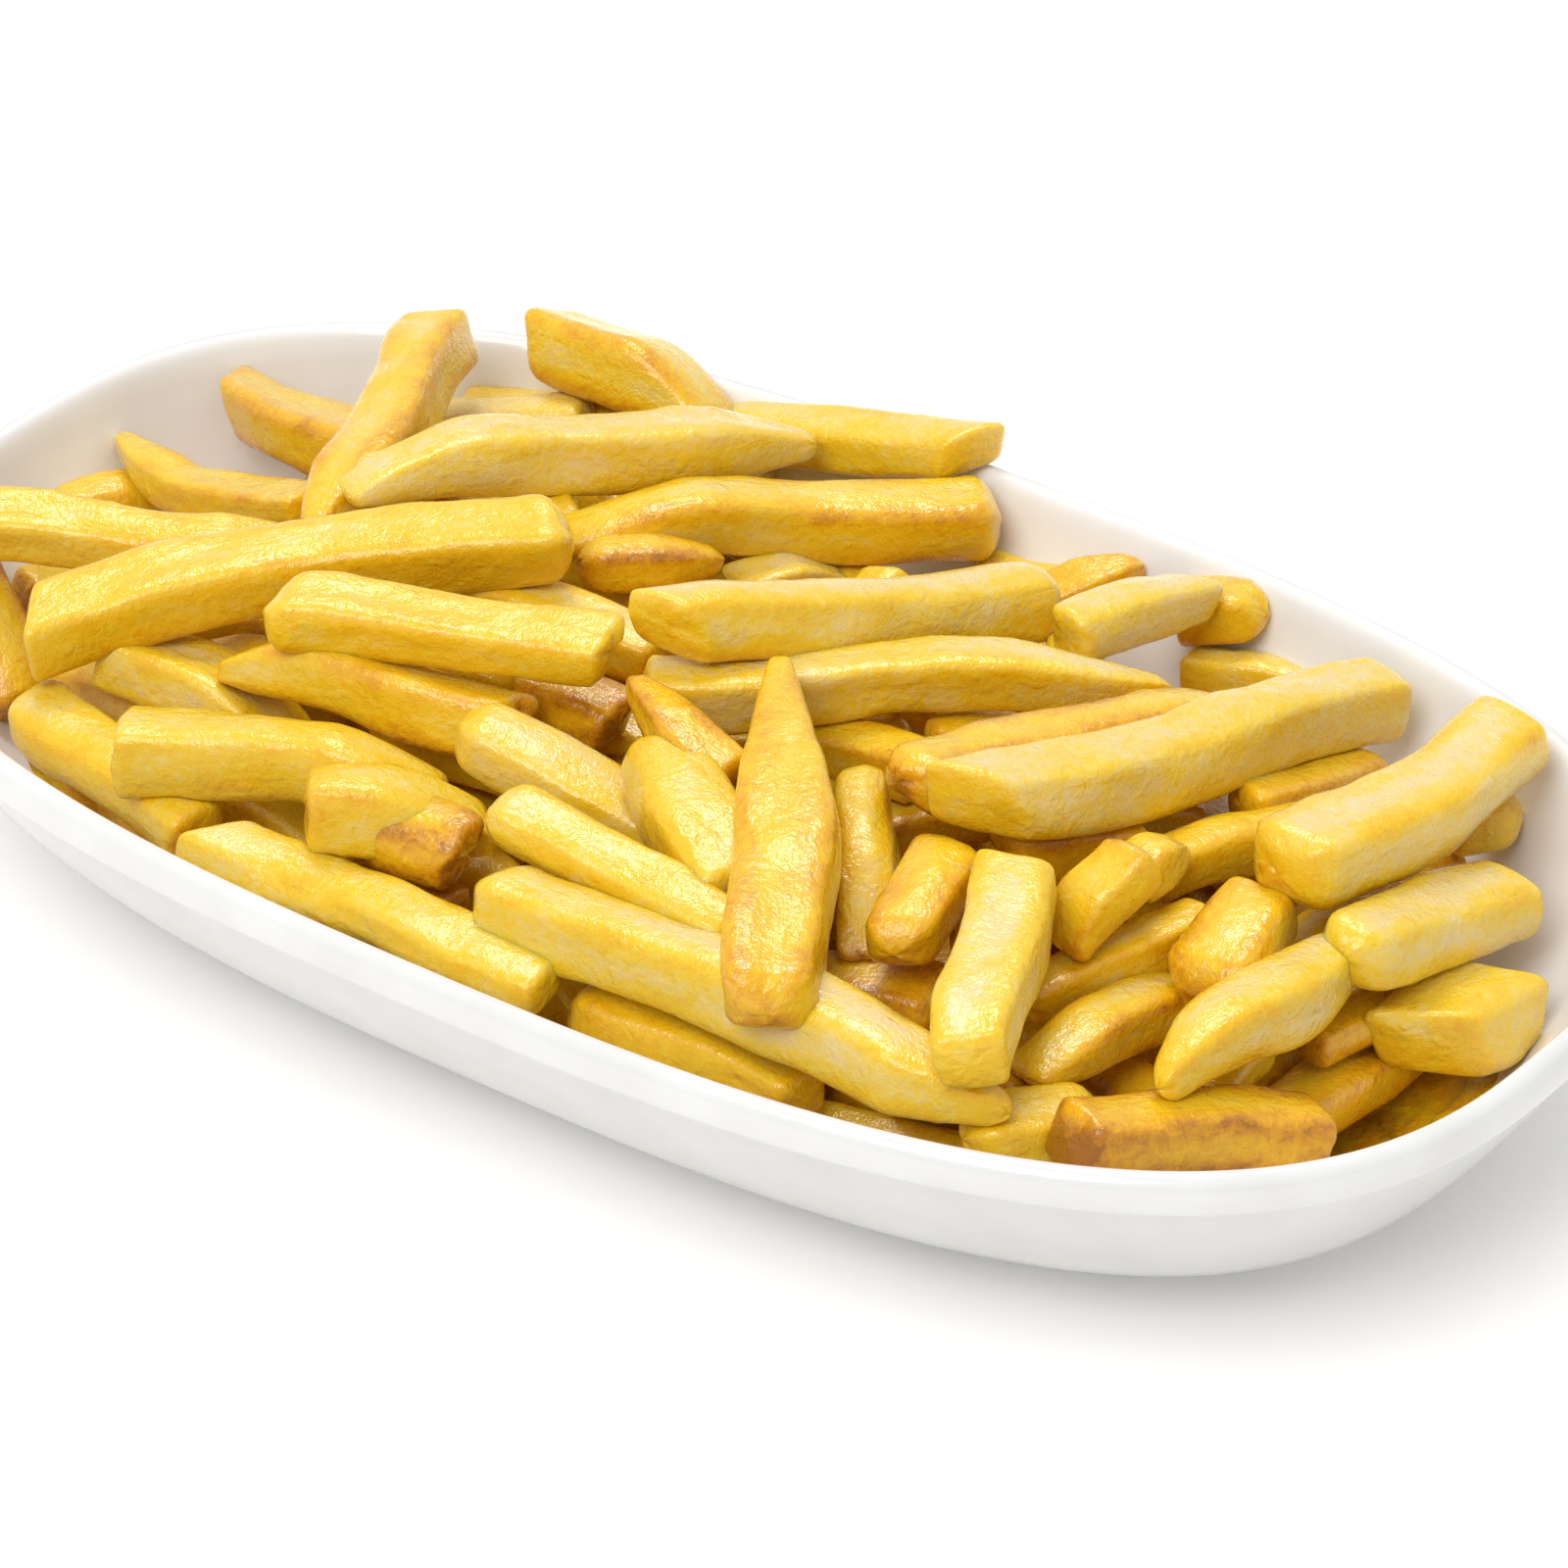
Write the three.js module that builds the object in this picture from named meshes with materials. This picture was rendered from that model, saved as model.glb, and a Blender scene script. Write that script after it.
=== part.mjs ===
// A portion of thick-cut french fries heaped in a white oval serving dish.
//
// Millimetres, +Z up. The origin is at the middle of the foot that the dish
// stands on. X runs along the dish and Y across it.
//
// Two solids: the glazed dish, and the heap of fries as one body out to its
// uneven outline. Both are built from rings and grids of points that are
// worked out from the sizes below.

import * as THREE from "three";

// ---- the dish -------------------------------------------------------------

const DISH_LENGTH = 280;
const DISH_WIDTH = 160;
const DISH_HEIGHT = 40;
// The plan is a superellipse: 2 would be a plain oval, more is squarer.
const PLAN_POWER = 2.7;
const DISH_SEGMENTS = 72;

// Half profile of the dish as [distance in from the rim's edge, height].
// It runs from the middle of the underside, out and up the outer wall, over
// the rolled rim and down the inside to the middle of the floor.
const UNDERSIDE = [
  [76, 2],
  [40.5, 2],
  [38.5, 0],
  [34.5, 0],
  [33.4, 2.1],
];
const OUTER_WALL = [
  [27.3, 4.4],
  [20.8, 8.2],
  [14.4, 14],
  [8.7, 21.6],
  [4.4, 29],
  [2.4, 32.8],
];
const RIM_BAND = [
  [0, 34.4],
  [0, 37.8],
  [0.8, 39.4],
  [2.2, DISH_HEIGHT],
  [3.6, 39.3],
];
const INSIDE = [
  [4.8, 37],
  [6.2, 33.4],
  [9.5, 26.4],
  [15, 18.4],
  [22, 12.2],
  [31, 8],
  [44, 5.8],
  [76, 5.2],
];

// ---- the heap -------------------------------------------------------------

const FRY_THICKNESS = 9.5;
// A fry's section is a rounded square: 2 would be round, more is squarer.
const FRY_SQUARENESS = 3;
const GAP_TO_DISH = 0.4;
// Evaluating the bowl a little nearer the rim keeps the heap off its facets.
const WALL_CLEARANCE = 0.7;
const THINNEST_HEAP = 2.5;
const HEAP_CELLS_ALONG = 46;
const HEAP_CELLS_ACROSS = 28;
const HEAP_BOTTOM_RINGS = 3;
const PATCH_STEP = 1.8;
// The furthest that any fry reaches, and the least that the heap spreads,
// both as a share of the dish's inner edge.
const WIDEST_REACH = 0.955;
const LEAST_REACH = 0.74;
const REACH_STEP = 0.01;
const INNER_EDGE = 5;

// The packed mass under the top fries: [distance in from the rim, height].
const MOUND = [
  [0, 16],
  [10, 24],
  [20, 31],
  [35, 38],
  [50, 42],
  [65, 45],
  [80, 46],
];
// It runs out towards both ends of the dish: [place along X, share of height].
const MOUND_ENDS = [
  [-140, 0.1],
  [-122, 0.45],
  [-85, 1],
  [75, 1],
  [95, 0.75],
  [112, 0.35],
  [124, 0],
  [140, 0],
];

// The fries that make the heap's outline and its ridges. Each row is one fry:
// the middle of its section at both ends as x, y, z, then its width.
const FRIES = [
  // left end
  [-123, 35, 34, -74, 24, 41, 10.5],
  [-98, 52, 45, -74, -7, 48, 10.5],
  [-131, 16, 33, -83, 5, 42, 7],
  [-131, 0, 31, -116, 28, 20, 9],
  [-123, -26, 39, -75, -3, 42, 9.5],
  [-132, -22, 37, -107, -34, 20, 11],
  [-94, -46, 27, -55, -56, 28, 10.5],
  [-90, -31, 34, -57, -31, 34, 10],
  [-97, -42, 40, -36, 8, 53, 10.5],
  // far side
  [-97, 55, 33, -71, 64, 36, 9],
  [-84, 65, 42, -50, 64, 41, 11],
  [-61, 67, 34, -12, 73, 43, 9],
  [-74, 1, 53, -36, 67, 43, 9.5],
  [-48, 21, 47, -5, 70, 36, 10],
  [-40, 14, 44, -27, 30, 42, 10],
  [-6, 66, 27, 14, 68, 30, 9],
  [28, 66, 33, 48, 68, 36, 9],
  [29, 40, 43, 34, 64, 39, 9.5],
  // middle
  [-67, -32, 42, -22, -23, 42, 10],
  [-60, -33, 51, -13, -13, 52, 10],
  [-53, 2, 41, -17, 5, 41, 9],
  [-9, -12, 47, 48, 38, 44, 10],
  [-8, -12, 58, 20, 50, 42, 11],
  [38, -14, 49, 57, 43, 42, 9.5],
  [53, -16, 54, 71, 64, 36, 11],
  [10, -2, 55, 52, -64, 45, 13.5],
  [27, -7, 44, 48, -35, 39, 9.5],
  [-4, -17, 52, 18, -25, 48, 10],
  // near side
  [-69, -57, 36, -27, -41, 39, 11],
  [-46, -61, 33, 14, -62, 33, 11.5],
  [-34, -57, 42, -13, -42, 43, 9.5],
  [-26, -33, 44, 9, -27, 33, 10],
  [-8, -47, 46, 34, -47, 39, 9],
  [-2, -55, 39, 82, -56, 36, 11.5],
  [49, -17, 45, 57, -41, 44, 12],
  [63, -20, 49, 80, -57, 45, 12],
  [78, -41, 36, 82, -9, 29, 10.5],
  // right end
  [87, 5, 39, 90, -14, 35, 12],
  [90, 3, 48, 94, 58, 40, 11.5],
  [97, -35, 39, 98, 11, 30, 11],
  [102, -10, 43, 108, 40, 27, 11],
  [92, -49, 34, 110, -18, 25, 10.5],
  [112, 2, 24, 113, 27, 22, 12],
];

// ---- small helpers --------------------------------------------------------

const HALVINGS = 30;

/** Height at x on a line drawn through [x, height] points. */
function along(points, x) {
  if (x <= points[0][0]) return points[0][1];
  for (let i = 1; i < points.length; i += 1) {
    const [x0, y0] = points[i - 1];
    const [x1, y1] = points[i];
    if (x <= x1) return y0 + ((y1 - y0) * (x - x0)) / (x1 - x0);
  }
  return points[points.length - 1][1];
}

/** A point of the dish's plan outline, moved in by `inset`, at `angle`. */
function planPoint(angle, inset) {
  const c = Math.cos(angle);
  const s = Math.sin(angle);
  const x = (DISH_LENGTH / 2 - inset) * Math.sign(c) * Math.abs(c) ** (2 / PLAN_POWER);
  const y = (DISH_WIDTH / 2 - inset) * Math.sign(s) * Math.abs(s) ** (2 / PLAN_POWER);
  return [x, y];
}

/** How far in from the rim's edge a point of the plan lies. */
function insetOf(x, y) {
  let low = -20;
  let high = DISH_WIDTH / 2 - 1;
  for (let step = 0; step < HALVINGS; step += 1) {
    const middle = (low + high) / 2;
    const reach =
      (Math.abs(x) / (DISH_LENGTH / 2 - middle)) ** PLAN_POWER +
      (Math.abs(y) / (DISH_WIDTH / 2 - middle)) ** PLAN_POWER;
    if (reach > 1) high = middle;
    else low = middle;
  }
  return (low + high) / 2;
}

/** A closed mesh from vertices and triangles. */
function solidGeometry(vertices, triangles) {
  const geometry = new THREE.BufferGeometry();
  geometry.setAttribute("position", new THREE.Float32BufferAttribute(vertices.flat(), 3));
  geometry.setIndex(triangles.flat());
  geometry.computeVertexNormals();
  return geometry;
}

function namedMesh(name, geometry, material) {
  const mesh = new THREE.Mesh(geometry, material);
  mesh.name = name;
  return mesh;
}

// ---- the dish as a loft of rings -----------------------------------------

function dishGeometry() {
  const profile = [...UNDERSIDE, ...OUTER_WALL, ...RIM_BAND, ...INSIDE];
  const vertices = [];
  for (const [inset, height] of profile) {
    for (let k = 0; k < DISH_SEGMENTS; k += 1) {
      const [x, y] = planPoint((2 * Math.PI * k) / DISH_SEGMENTS, inset);
      vertices.push([x, y, height]);
    }
  }
  const triangles = [];
  for (let ring = 0; ring + 1 < profile.length; ring += 1) {
    for (let k = 0; k < DISH_SEGMENTS; k += 1) {
      const next = (k + 1) % DISH_SEGMENTS;
      const a = ring * DISH_SEGMENTS + k;
      const b = ring * DISH_SEGMENTS + next;
      const c = a + DISH_SEGMENTS;
      const d = b + DISH_SEGMENTS;
      triangles.push([a, b, d], [a, d, c]);
    }
  }
  // a centre point closes the underside, and another closes the floor
  const under = vertices.length;
  vertices.push([0, 0, profile[0][1]]);
  const floor = vertices.length;
  vertices.push([0, 0, profile[profile.length - 1][1]]);
  const lastRing = (profile.length - 1) * DISH_SEGMENTS;
  for (let k = 0; k < DISH_SEGMENTS; k += 1) {
    const next = (k + 1) % DISH_SEGMENTS;
    triangles.push([under, next, k], [floor, lastRing + k, lastRing + next]);
  }
  return solidGeometry(vertices, triangles);
}

// ---- the heap as one body under the fries' upper surface ------------------

/** The lowest that the heap may reach at a point: just above the bowl. */
function heapFloor(x, y) {
  return along(INSIDE, insetOf(x, y) - WALL_CLEARANCE) + GAP_TO_DISH;
}

/** Height of one fry's rounded upper side over a point, or nothing. */
function fryTop([x0, y0, z0, x1, y1, z1, width], x, y) {
  const length = Math.hypot(x1 - x0, y1 - y0);
  const ux = (x1 - x0) / length;
  const uy = (y1 - y0) / length;
  const run = (x - x0) * ux + (y - y0) * uy;
  const aside = Math.abs((y - y0) * ux - (x - x0) * uy) / (width / 2);
  if (run < 0 || run > length || aside >= 1) return -Infinity;
  const round = (1 - aside ** FRY_SQUARENESS) ** (1 / FRY_SQUARENESS);
  return z0 + ((z1 - z0) * run) / length + (FRY_THICKNESS / 2) * round;
}

/** The heap's upper surface at a point: the mound, or the highest fry. */
function heapTop(x, y) {
  let top = along(MOUND, insetOf(x, y)) * along(MOUND_ENDS, x);
  for (const fry of FRIES) top = Math.max(top, fryTop(fry, x, y));
  return top;
}

/** heapTop averaged over a small patch, to suit the grid's spacing. */
function softHeapTop(x, y) {
  const steps = [-1, 0, 1].map((step) => step * PATCH_STEP);
  const samples = steps.flatMap((dx) => steps.map((dy) => heapTop(x + dx, y + dy)));
  return samples.reduce((sum, height) => sum + height, 0) / samples.length;
}

/** How far out the heap reaches at an angle, as a share of the inner edge. */
function heapReach(angle) {
  for (let reach = WIDEST_REACH; reach > LEAST_REACH; reach -= REACH_STEP) {
    const [x, y] = planPoint(angle, INNER_EDGE).map((value) => value * reach);
    if (heapTop(x, y) > heapFloor(x, y) + THINNEST_HEAP) return reach;
  }
  return LEAST_REACH;
}

/** A grid square's corner moved into the heap's outline. */
function gridPoint(u, v) {
  // a square from -1 to 1 pressed into a disc
  const p = u * Math.sqrt(1 - (v * v) / 2);
  const q = v * Math.sqrt(1 - (u * u) / 2);
  const share = Math.hypot(p, q);
  if (share === 0) return [0, 0];
  const angle = Math.atan2(q, p);
  const reach = heapReach(angle) * share;
  return planPoint(angle, INNER_EDGE).map((value) => value * reach);
}

function heapGeometry() {
  const vertices = [];
  const triangles = [];
  const row = HEAP_CELLS_ALONG + 1;
  for (let j = 0; j <= HEAP_CELLS_ACROSS; j += 1) {
    for (let i = 0; i <= HEAP_CELLS_ALONG; i += 1) {
      const [x, y] = gridPoint(
        (2 * i) / HEAP_CELLS_ALONG - 1,
        (2 * j) / HEAP_CELLS_ACROSS - 1,
      );
      const top = Math.max(softHeapTop(x, y), heapFloor(x, y) + THINNEST_HEAP);
      vertices.push([x, y, top]);
    }
  }
  for (let j = 0; j < HEAP_CELLS_ACROSS; j += 1) {
    for (let i = 0; i < HEAP_CELLS_ALONG; i += 1) {
      const a = j * row + i;
      triangles.push([a, a + 1, a + row + 1], [a, a + row + 1, a + row]);
    }
  }
  // the grid's edge, once round, counter-clockwise from above
  const edge = [];
  for (let i = 0; i < HEAP_CELLS_ALONG; i += 1) edge.push(i);
  for (let j = 0; j < HEAP_CELLS_ACROSS; j += 1) edge.push(j * row + HEAP_CELLS_ALONG);
  for (let i = HEAP_CELLS_ALONG; i > 0; i -= 1) edge.push(HEAP_CELLS_ACROSS * row + i);
  for (let j = HEAP_CELLS_ACROSS; j > 0; j -= 1) edge.push(j * row);
  // rings that follow the bowl from the edge to the middle
  let outer = edge;
  for (let ring = 0; ring <= HEAP_BOTTOM_RINGS; ring += 1) {
    const share = 1 - ring / (HEAP_BOTTOM_RINGS + 1);
    const inner = edge.map((index) => {
      const [x, y] = vertices[index].slice(0, 2).map((value) => value * share);
      return vertices.push([x, y, heapFloor(x, y)]) - 1;
    });
    for (let k = 0; k < edge.length; k += 1) {
      const next = (k + 1) % edge.length;
      triangles.push([outer[k], inner[k], outer[next]]);
      triangles.push([outer[next], inner[k], inner[next]]);
    }
    outer = inner;
  }
  const middle = vertices.push([0, 0, heapFloor(0, 0)]) - 1;
  for (let k = 0; k < edge.length; k += 1) {
    triangles.push([outer[k], middle, outer[(k + 1) % edge.length]]);
  }
  return solidGeometry(vertices, triangles);
}

// ---- the portion ----------------------------------------------------------

const glaze = new THREE.MeshStandardMaterial({ color: 0xf6f3ee, roughness: 0.16, metalness: 0 });
const potato = new THREE.MeshStandardMaterial({ color: 0xf0cf6c, roughness: 0.45, metalness: 0 });

const group = new THREE.Group();
group.add(namedMesh("dish", dishGeometry(), glaze));
group.add(namedMesh("fries_heap", heapGeometry(), potato));

export default group;
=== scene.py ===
# %% [markdown]
# # A portion of french fries in an oval dish
#
# The real thing is well over a hundred thick-cut potato strips, fried pale gold, tipped into a white glazed
# dish and left as they fell. Nothing about the heap is regular: strips differ in length, some were cut
# from the rounded side of the potato and end in a wedge, some are bent, and a few are browned.
#
# The CAD frame holds the two solids that matter for size and contact: the dish, and the heap as one lump.
# This script keeps their sizes and swaps both for the fine surfaces that are seen.

# %% Load the frame
import math

import bpy
import numpy as np
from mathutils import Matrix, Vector


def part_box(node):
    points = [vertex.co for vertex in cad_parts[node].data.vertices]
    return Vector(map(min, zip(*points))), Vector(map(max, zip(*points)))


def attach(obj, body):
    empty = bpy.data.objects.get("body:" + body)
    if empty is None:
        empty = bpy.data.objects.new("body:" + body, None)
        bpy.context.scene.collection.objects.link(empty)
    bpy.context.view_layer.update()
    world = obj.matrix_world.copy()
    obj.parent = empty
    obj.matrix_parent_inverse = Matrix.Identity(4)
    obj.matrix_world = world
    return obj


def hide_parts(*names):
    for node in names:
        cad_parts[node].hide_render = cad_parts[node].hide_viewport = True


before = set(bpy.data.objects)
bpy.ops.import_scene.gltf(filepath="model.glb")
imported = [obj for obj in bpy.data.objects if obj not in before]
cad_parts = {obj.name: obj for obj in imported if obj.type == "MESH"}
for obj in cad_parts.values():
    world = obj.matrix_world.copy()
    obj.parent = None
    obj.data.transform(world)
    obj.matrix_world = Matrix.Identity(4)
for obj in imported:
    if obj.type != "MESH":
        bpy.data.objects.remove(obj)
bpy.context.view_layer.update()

MM = 0.001
dish_low, dish_high = (np.array(corner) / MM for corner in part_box("dish"))
HALF_LENGTH, HALF_WIDTH, DISH_HEIGHT = dish_high
heap_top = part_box("fries_heap")[1][2] / MM
print("dish, mm:", (dish_high - dish_low).round(1), " heap top, mm:", round(heap_top, 1))

# %% [markdown]
# ## Small tools
#
# Every surface below is made the same way: rows of points, joined into four-sided faces. One helper turns
# points and faces into a smooth-shaded piece and stores any per-point values that a material will read.
# The other makes lumps: values on a random lattice, blended smoothly in between. It stands in for a noise
# texture where the lumps must be real shape, and it is seeded, so the heap is the same on every run.

# %% Mesh and noise helpers
LATTICE = 32
lattice_values = np.random.default_rng(11).random((LATTICE, LATTICE, LATTICE))


def lumps(points, size):
    """Smooth values from -1 to 1 at points (n, 3), with lumps about `size` across."""
    scaled = np.asarray(points) / size
    cell = np.floor(scaled).astype(int)
    share = scaled - cell
    share = share * share * (3 - 2 * share)
    total = np.zeros(len(scaled))
    for corner in np.ndindex(2, 2, 2):
        index = (cell + corner) % LATTICE
        weight = np.prod(np.where(corner, share, 1 - share), axis=1)
        total += weight * lattice_values[index[:, 0], index[:, 1], index[:, 2]]
    return 2 * total - 1


def along(points, value):
    """The height at `value` on the line through (place, height) points."""
    places, heights = zip(*points)
    return np.interp(value, places, heights)


def make_piece(name, points_mm, faces, values=None):
    """A smooth-shaded mesh object from points in millimetres, with named per-point values."""
    mesh = bpy.data.meshes.new(name)
    mesh.from_pydata((np.asarray(points_mm) * MM).tolist(), [], faces)
    mesh.polygons.foreach_set("use_smooth", np.ones(len(mesh.polygons), bool))
    for key, data in (values or {}).items():
        data = np.asarray(data, np.float32)
        kind = "FLOAT" if data.ndim == 1 else "FLOAT_VECTOR"
        attribute = mesh.attributes.new(key, kind, "POINT")
        attribute.data.foreach_set("value" if data.ndim == 1 else "vector", data.ravel())
    mesh.update()
    piece = bpy.data.objects.new(name, mesh)
    bpy.context.scene.collection.objects.link(piece)
    return piece


def ring_faces(rings, around, start=0):
    """Faces between rings of `around` points each, whose points are numbered from `start`."""
    faces = []
    for ring in range(rings - 1):
        for k in range(around):
            a = start + ring * around + k
            b = start + ring * around + (k + 1) % around
            faces.append((a, b, b + around, a + around))
    return faces


def settle(piece, material):
    """The last steps for every piece: its finish and the body it rides on."""
    piece.data.materials.clear()
    piece.data.materials.append(material)
    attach(piece, "root")
    triangles = sum(len(face.vertices) - 2 for face in piece.data.polygons)
    print(f"{piece.name}: {triangles} triangles")
    return piece


# %% [markdown]
# ## The camera
#
# A long lens from well back, looking down by about a third of a right angle and from one corner of the
# dish, as someone standing at the table sees it. A long lens keeps the far rim nearly as wide as the near
# one. The dish runs out of the frame a little at two corners.

# %% Camera
VIEW_AZIMUTH = math.radians(36.3)
VIEW_HEIGHT = math.radians(33.2)
VIEW_DISTANCE = 1200
VIEW_TARGET = np.array([-2.2, 13.7, 20])
LENS = 188.6

to_camera = np.array([
    math.sin(VIEW_AZIMUTH) * math.cos(VIEW_HEIGHT),
    -math.cos(VIEW_AZIMUTH) * math.cos(VIEW_HEIGHT),
    math.sin(VIEW_HEIGHT),
])
view_right = np.array([math.cos(VIEW_AZIMUTH), math.sin(VIEW_AZIMUTH), 0])
view_up = np.cross(to_camera, view_right)

camera_data = bpy.data.cameras.new("camera")
camera_data.lens = LENS
camera_data.sensor_width = 36
camera = bpy.data.objects.new("camera", camera_data)
camera.location = (VIEW_TARGET + to_camera * VIEW_DISTANCE) * MM
camera.rotation_euler = (math.pi / 2 - VIEW_HEIGHT, 0, VIEW_AZIMUTH)
bpy.context.scene.collection.objects.link(camera)
bpy.context.scene.camera = camera
print("camera at, mm:", (VIEW_TARGET + to_camera * VIEW_DISTANCE).round(0))

# %% [markdown]
# ## Light and floor
#
# Food like this is lit softly and very brightly. One wide light hangs behind and above, and shines in the
# oily tops. Another fills from the front, so that the near sides stay golden and the floor hardly darkens.
# Suns with wide discs do it evenly over the whole floor, where lamps would leave bright pools. A white sky
# all round fills what is left. The floor is plain and nearly white.
# The plain "Standard" view keeps yellows as saturated as the paint that made them.

# %% Lamps, sky and floor
bpy.context.scene.view_settings.view_transform = "Standard"

# where each comes from, its strength, and how many degrees of the sky it covers
LIGHTS = {
    "key": ((-0.28, 0.35, 0.88), 1.25, 22),
    "front_fill": ((0.03, -0.60, 0.80), 1.5, 36),
}
for light_name, (direction, strength, spread) in LIGHTS.items():
    sun = bpy.data.lights.new(light_name, "SUN")
    sun.energy = strength
    sun.angle = math.radians(spread)
    sun.color = (1, 0.99, 0.97)
    lamp = bpy.data.objects.new(light_name, sun)
    lamp.rotation_euler = Vector(direction).to_track_quat("Z", "Y").to_euler()
    bpy.context.scene.collection.objects.link(lamp)

sky = bpy.data.worlds.new("sky")
bpy.context.scene.world = sky
sky.use_nodes = True
sky.node_tree.nodes["Background"].inputs["Color"].default_value = (1, 0.99, 0.975, 1)
sky.node_tree.nodes["Background"].inputs["Strength"].default_value = 0.66

FLOOR_HALF = 4000
FLOOR_DROP = 0.05
floor = make_piece(
    "floor",
    [(-FLOOR_HALF, -FLOOR_HALF, -FLOOR_DROP), (FLOOR_HALF, -FLOOR_HALF, -FLOOR_DROP),
     (FLOOR_HALF, FLOOR_HALF, -FLOOR_DROP), (-FLOOR_HALF, FLOOR_HALF, -FLOOR_DROP)],
    [(0, 1, 2, 3)],
)
floor_paint = bpy.data.materials.new("pale_floor")
floor_paint.use_nodes = True
floor_shader = floor_paint.node_tree.nodes["Principled BSDF"]
floor_shader.inputs["Base Color"].default_value = (0.93, 0.925, 0.915, 1)
floor_shader.inputs["Roughness"].default_value = 0.75
# painted light: the floor, a thin white cloth over a white table, glows a little, which lifts its own shadows
floor_shader.inputs["Emission Color"].default_value = (1, 1, 0.97, 1)
floor_shader.inputs["Emission Strength"].default_value = 0.13
floor.data.materials.append(floor_paint)

# %% [markdown]
# ## The dish
#
# A glazed stoneware dish is pressed to an oval and its rim is rolled. Its plan is a superellipse: an oval
# whose ends are a little squarer than an ellipse. The section is the same all the way round, so the body is
# a loft: one half profile, swept through shrinking copies of the plan. Cutting the profile's corners a few
# times rounds the rim and the foot as the glaze does, and 256 points round keep the gloss free of facets.

# %% Plan and profile
PLAN_POWER = 2.7
DISH_AROUND = 256

# distance in from the rim's edge, and height, from the middle of the underside to the middle of the floor
OUTSIDE = [(76, 2), (41, 2), (38.5, 0), (34.5, 0), (33.4, 2.1), (27.3, 4.4), (20.8, 8.2), (14.4, 14),
           (8.7, 21.6), (4.4, 29), (2.9, 32), (2.3, 33.2), (1.4, 33.9), (0.3, 34.2)]
RIM = [(0, 35), (0, 37.8), (0.8, 39.4), (2.2, DISH_HEIGHT), (3.6, 39.3)]
INSIDE = [(4.8, 37), (6.2, 33.4), (9.5, 26.4), (15, 18.4), (22, 12.2), (31, 8), (44, 5.8), (76, 5.2)]


def plan_point(angle, inset):
    """The dish's outline, moved in by `inset`, at each angle."""
    c, s = np.cos(angle), np.sin(angle)
    x = (HALF_LENGTH - inset) * np.sign(c) * np.abs(c) ** (2 / PLAN_POWER)
    y = (HALF_WIDTH - inset) * np.sign(s) * np.abs(s) ** (2 / PLAN_POWER)
    return x, y


def cut_corners(points, times):
    """Rounds a line of points by cutting every corner at a quarter and three quarters."""
    points = np.array(points, float)
    for _ in range(times):
        quarter = points[:-1] * 0.75 + points[1:] * 0.25
        three = points[:-1] * 0.25 + points[1:] * 0.75
        middle = np.stack([quarter, three], axis=1).reshape(-1, 2)
        points = np.vstack([points[:1], middle[1:-1], points[-1:]])
    return points


profile = cut_corners(OUTSIDE + RIM + INSIDE, 2)
# the cuts shave a little off the foot and the crest, so the heights are stretched back
profile[:, 1] = np.interp(profile[:, 1], [profile[:, 1].min(), profile[:, 1].max()], [0, DISH_HEIGHT])
profile[:, 0] -= profile[:, 0].min()
print("dish profile points:", len(profile))


# %% Loft the dish
angles = np.linspace(0, 2 * math.pi, DISH_AROUND, endpoint=False)
dish_points = []
for inset, height in profile:
    x, y = plan_point(angles, inset)
    dish_points.append(np.column_stack([x, y, np.full(DISH_AROUND, height)]))
dish_points = np.vstack(dish_points + [[[0, 0, profile[0, 1]]], [[0, 0, profile[-1, 1]]]])
dish_faces = ring_faces(len(profile), DISH_AROUND)
under_middle, floor_middle = len(dish_points) - 2, len(dish_points) - 1
last_ring = (len(profile) - 1) * DISH_AROUND
for k in range(DISH_AROUND):
    after = (k + 1) % DISH_AROUND
    dish_faces.append((under_middle, after, k))
    dish_faces.append((floor_middle, last_ring + k, last_ring + after))
# painted light and shade: the inside is painted whitest, and the outside darker from the crest down to the
# foot, where the wall is in shade
PAINTED_LIGHT_BY_HEIGHT = [(0, 0.0), (31, 0.12), (34, 0.3), (DISH_HEIGHT, 0.5)]
painted_light_by_point = along(PAINTED_LIGHT_BY_HEIGHT, profile[:, 1])
painted_light_by_point[int(np.argmax(profile[:, 1])) + 2:] = 1
painted_light_by_point = np.concatenate([np.repeat(painted_light_by_point, DISH_AROUND), [0, 1]])
dish = make_piece("oval_dish", dish_points, dish_faces, {"painted_wall_light": painted_light_by_point})

# %% [markdown]
# ## The glaze
#
# White glaze is a thin glass over a pale, slightly warm body. It is very smooth but never perfectly flat:
# it pools and waves by a few hundredths of a millimetre, which is what bends the lamp's reflection. So the
# colour, apart from painted shade down the outside and painted light inside, is almost even, the roughness is
# low with faint cloudiness, and the bump is broad and tiny.

# %% Node helper and glaze
def add_node(tree, kind, settings=None, **inputs):
    """Adds a node, sets its own settings and its inputs; an input may be a value or another socket."""
    node = tree.nodes.new(kind)
    for key, value in (settings or {}).items():
        setattr(node, key, value)
    for key, value in inputs.items():
        socket = node.inputs[int(key[1:])] if key[0] == "_" and key[1:].isdigit() else node.inputs[key]
        if isinstance(value, bpy.types.NodeSocket):
            tree.links.new(value, socket)
        else:
            socket.default_value = value
    return node


def mapped(tree, value, low, high, to_low, to_high):
    """A value moved from one range to another."""
    node = add_node(tree, "ShaderNodeMapRange", _0=value, _1=low, _2=high, _3=to_low, _4=to_high)
    return node.outputs[0]


def combined(tree, operation, first, second):
    """Two values, or a value and a number, put through one sum."""
    return add_node(tree, "ShaderNodeMath", {"operation": operation}, _0=first, _1=second).outputs[0]


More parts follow.
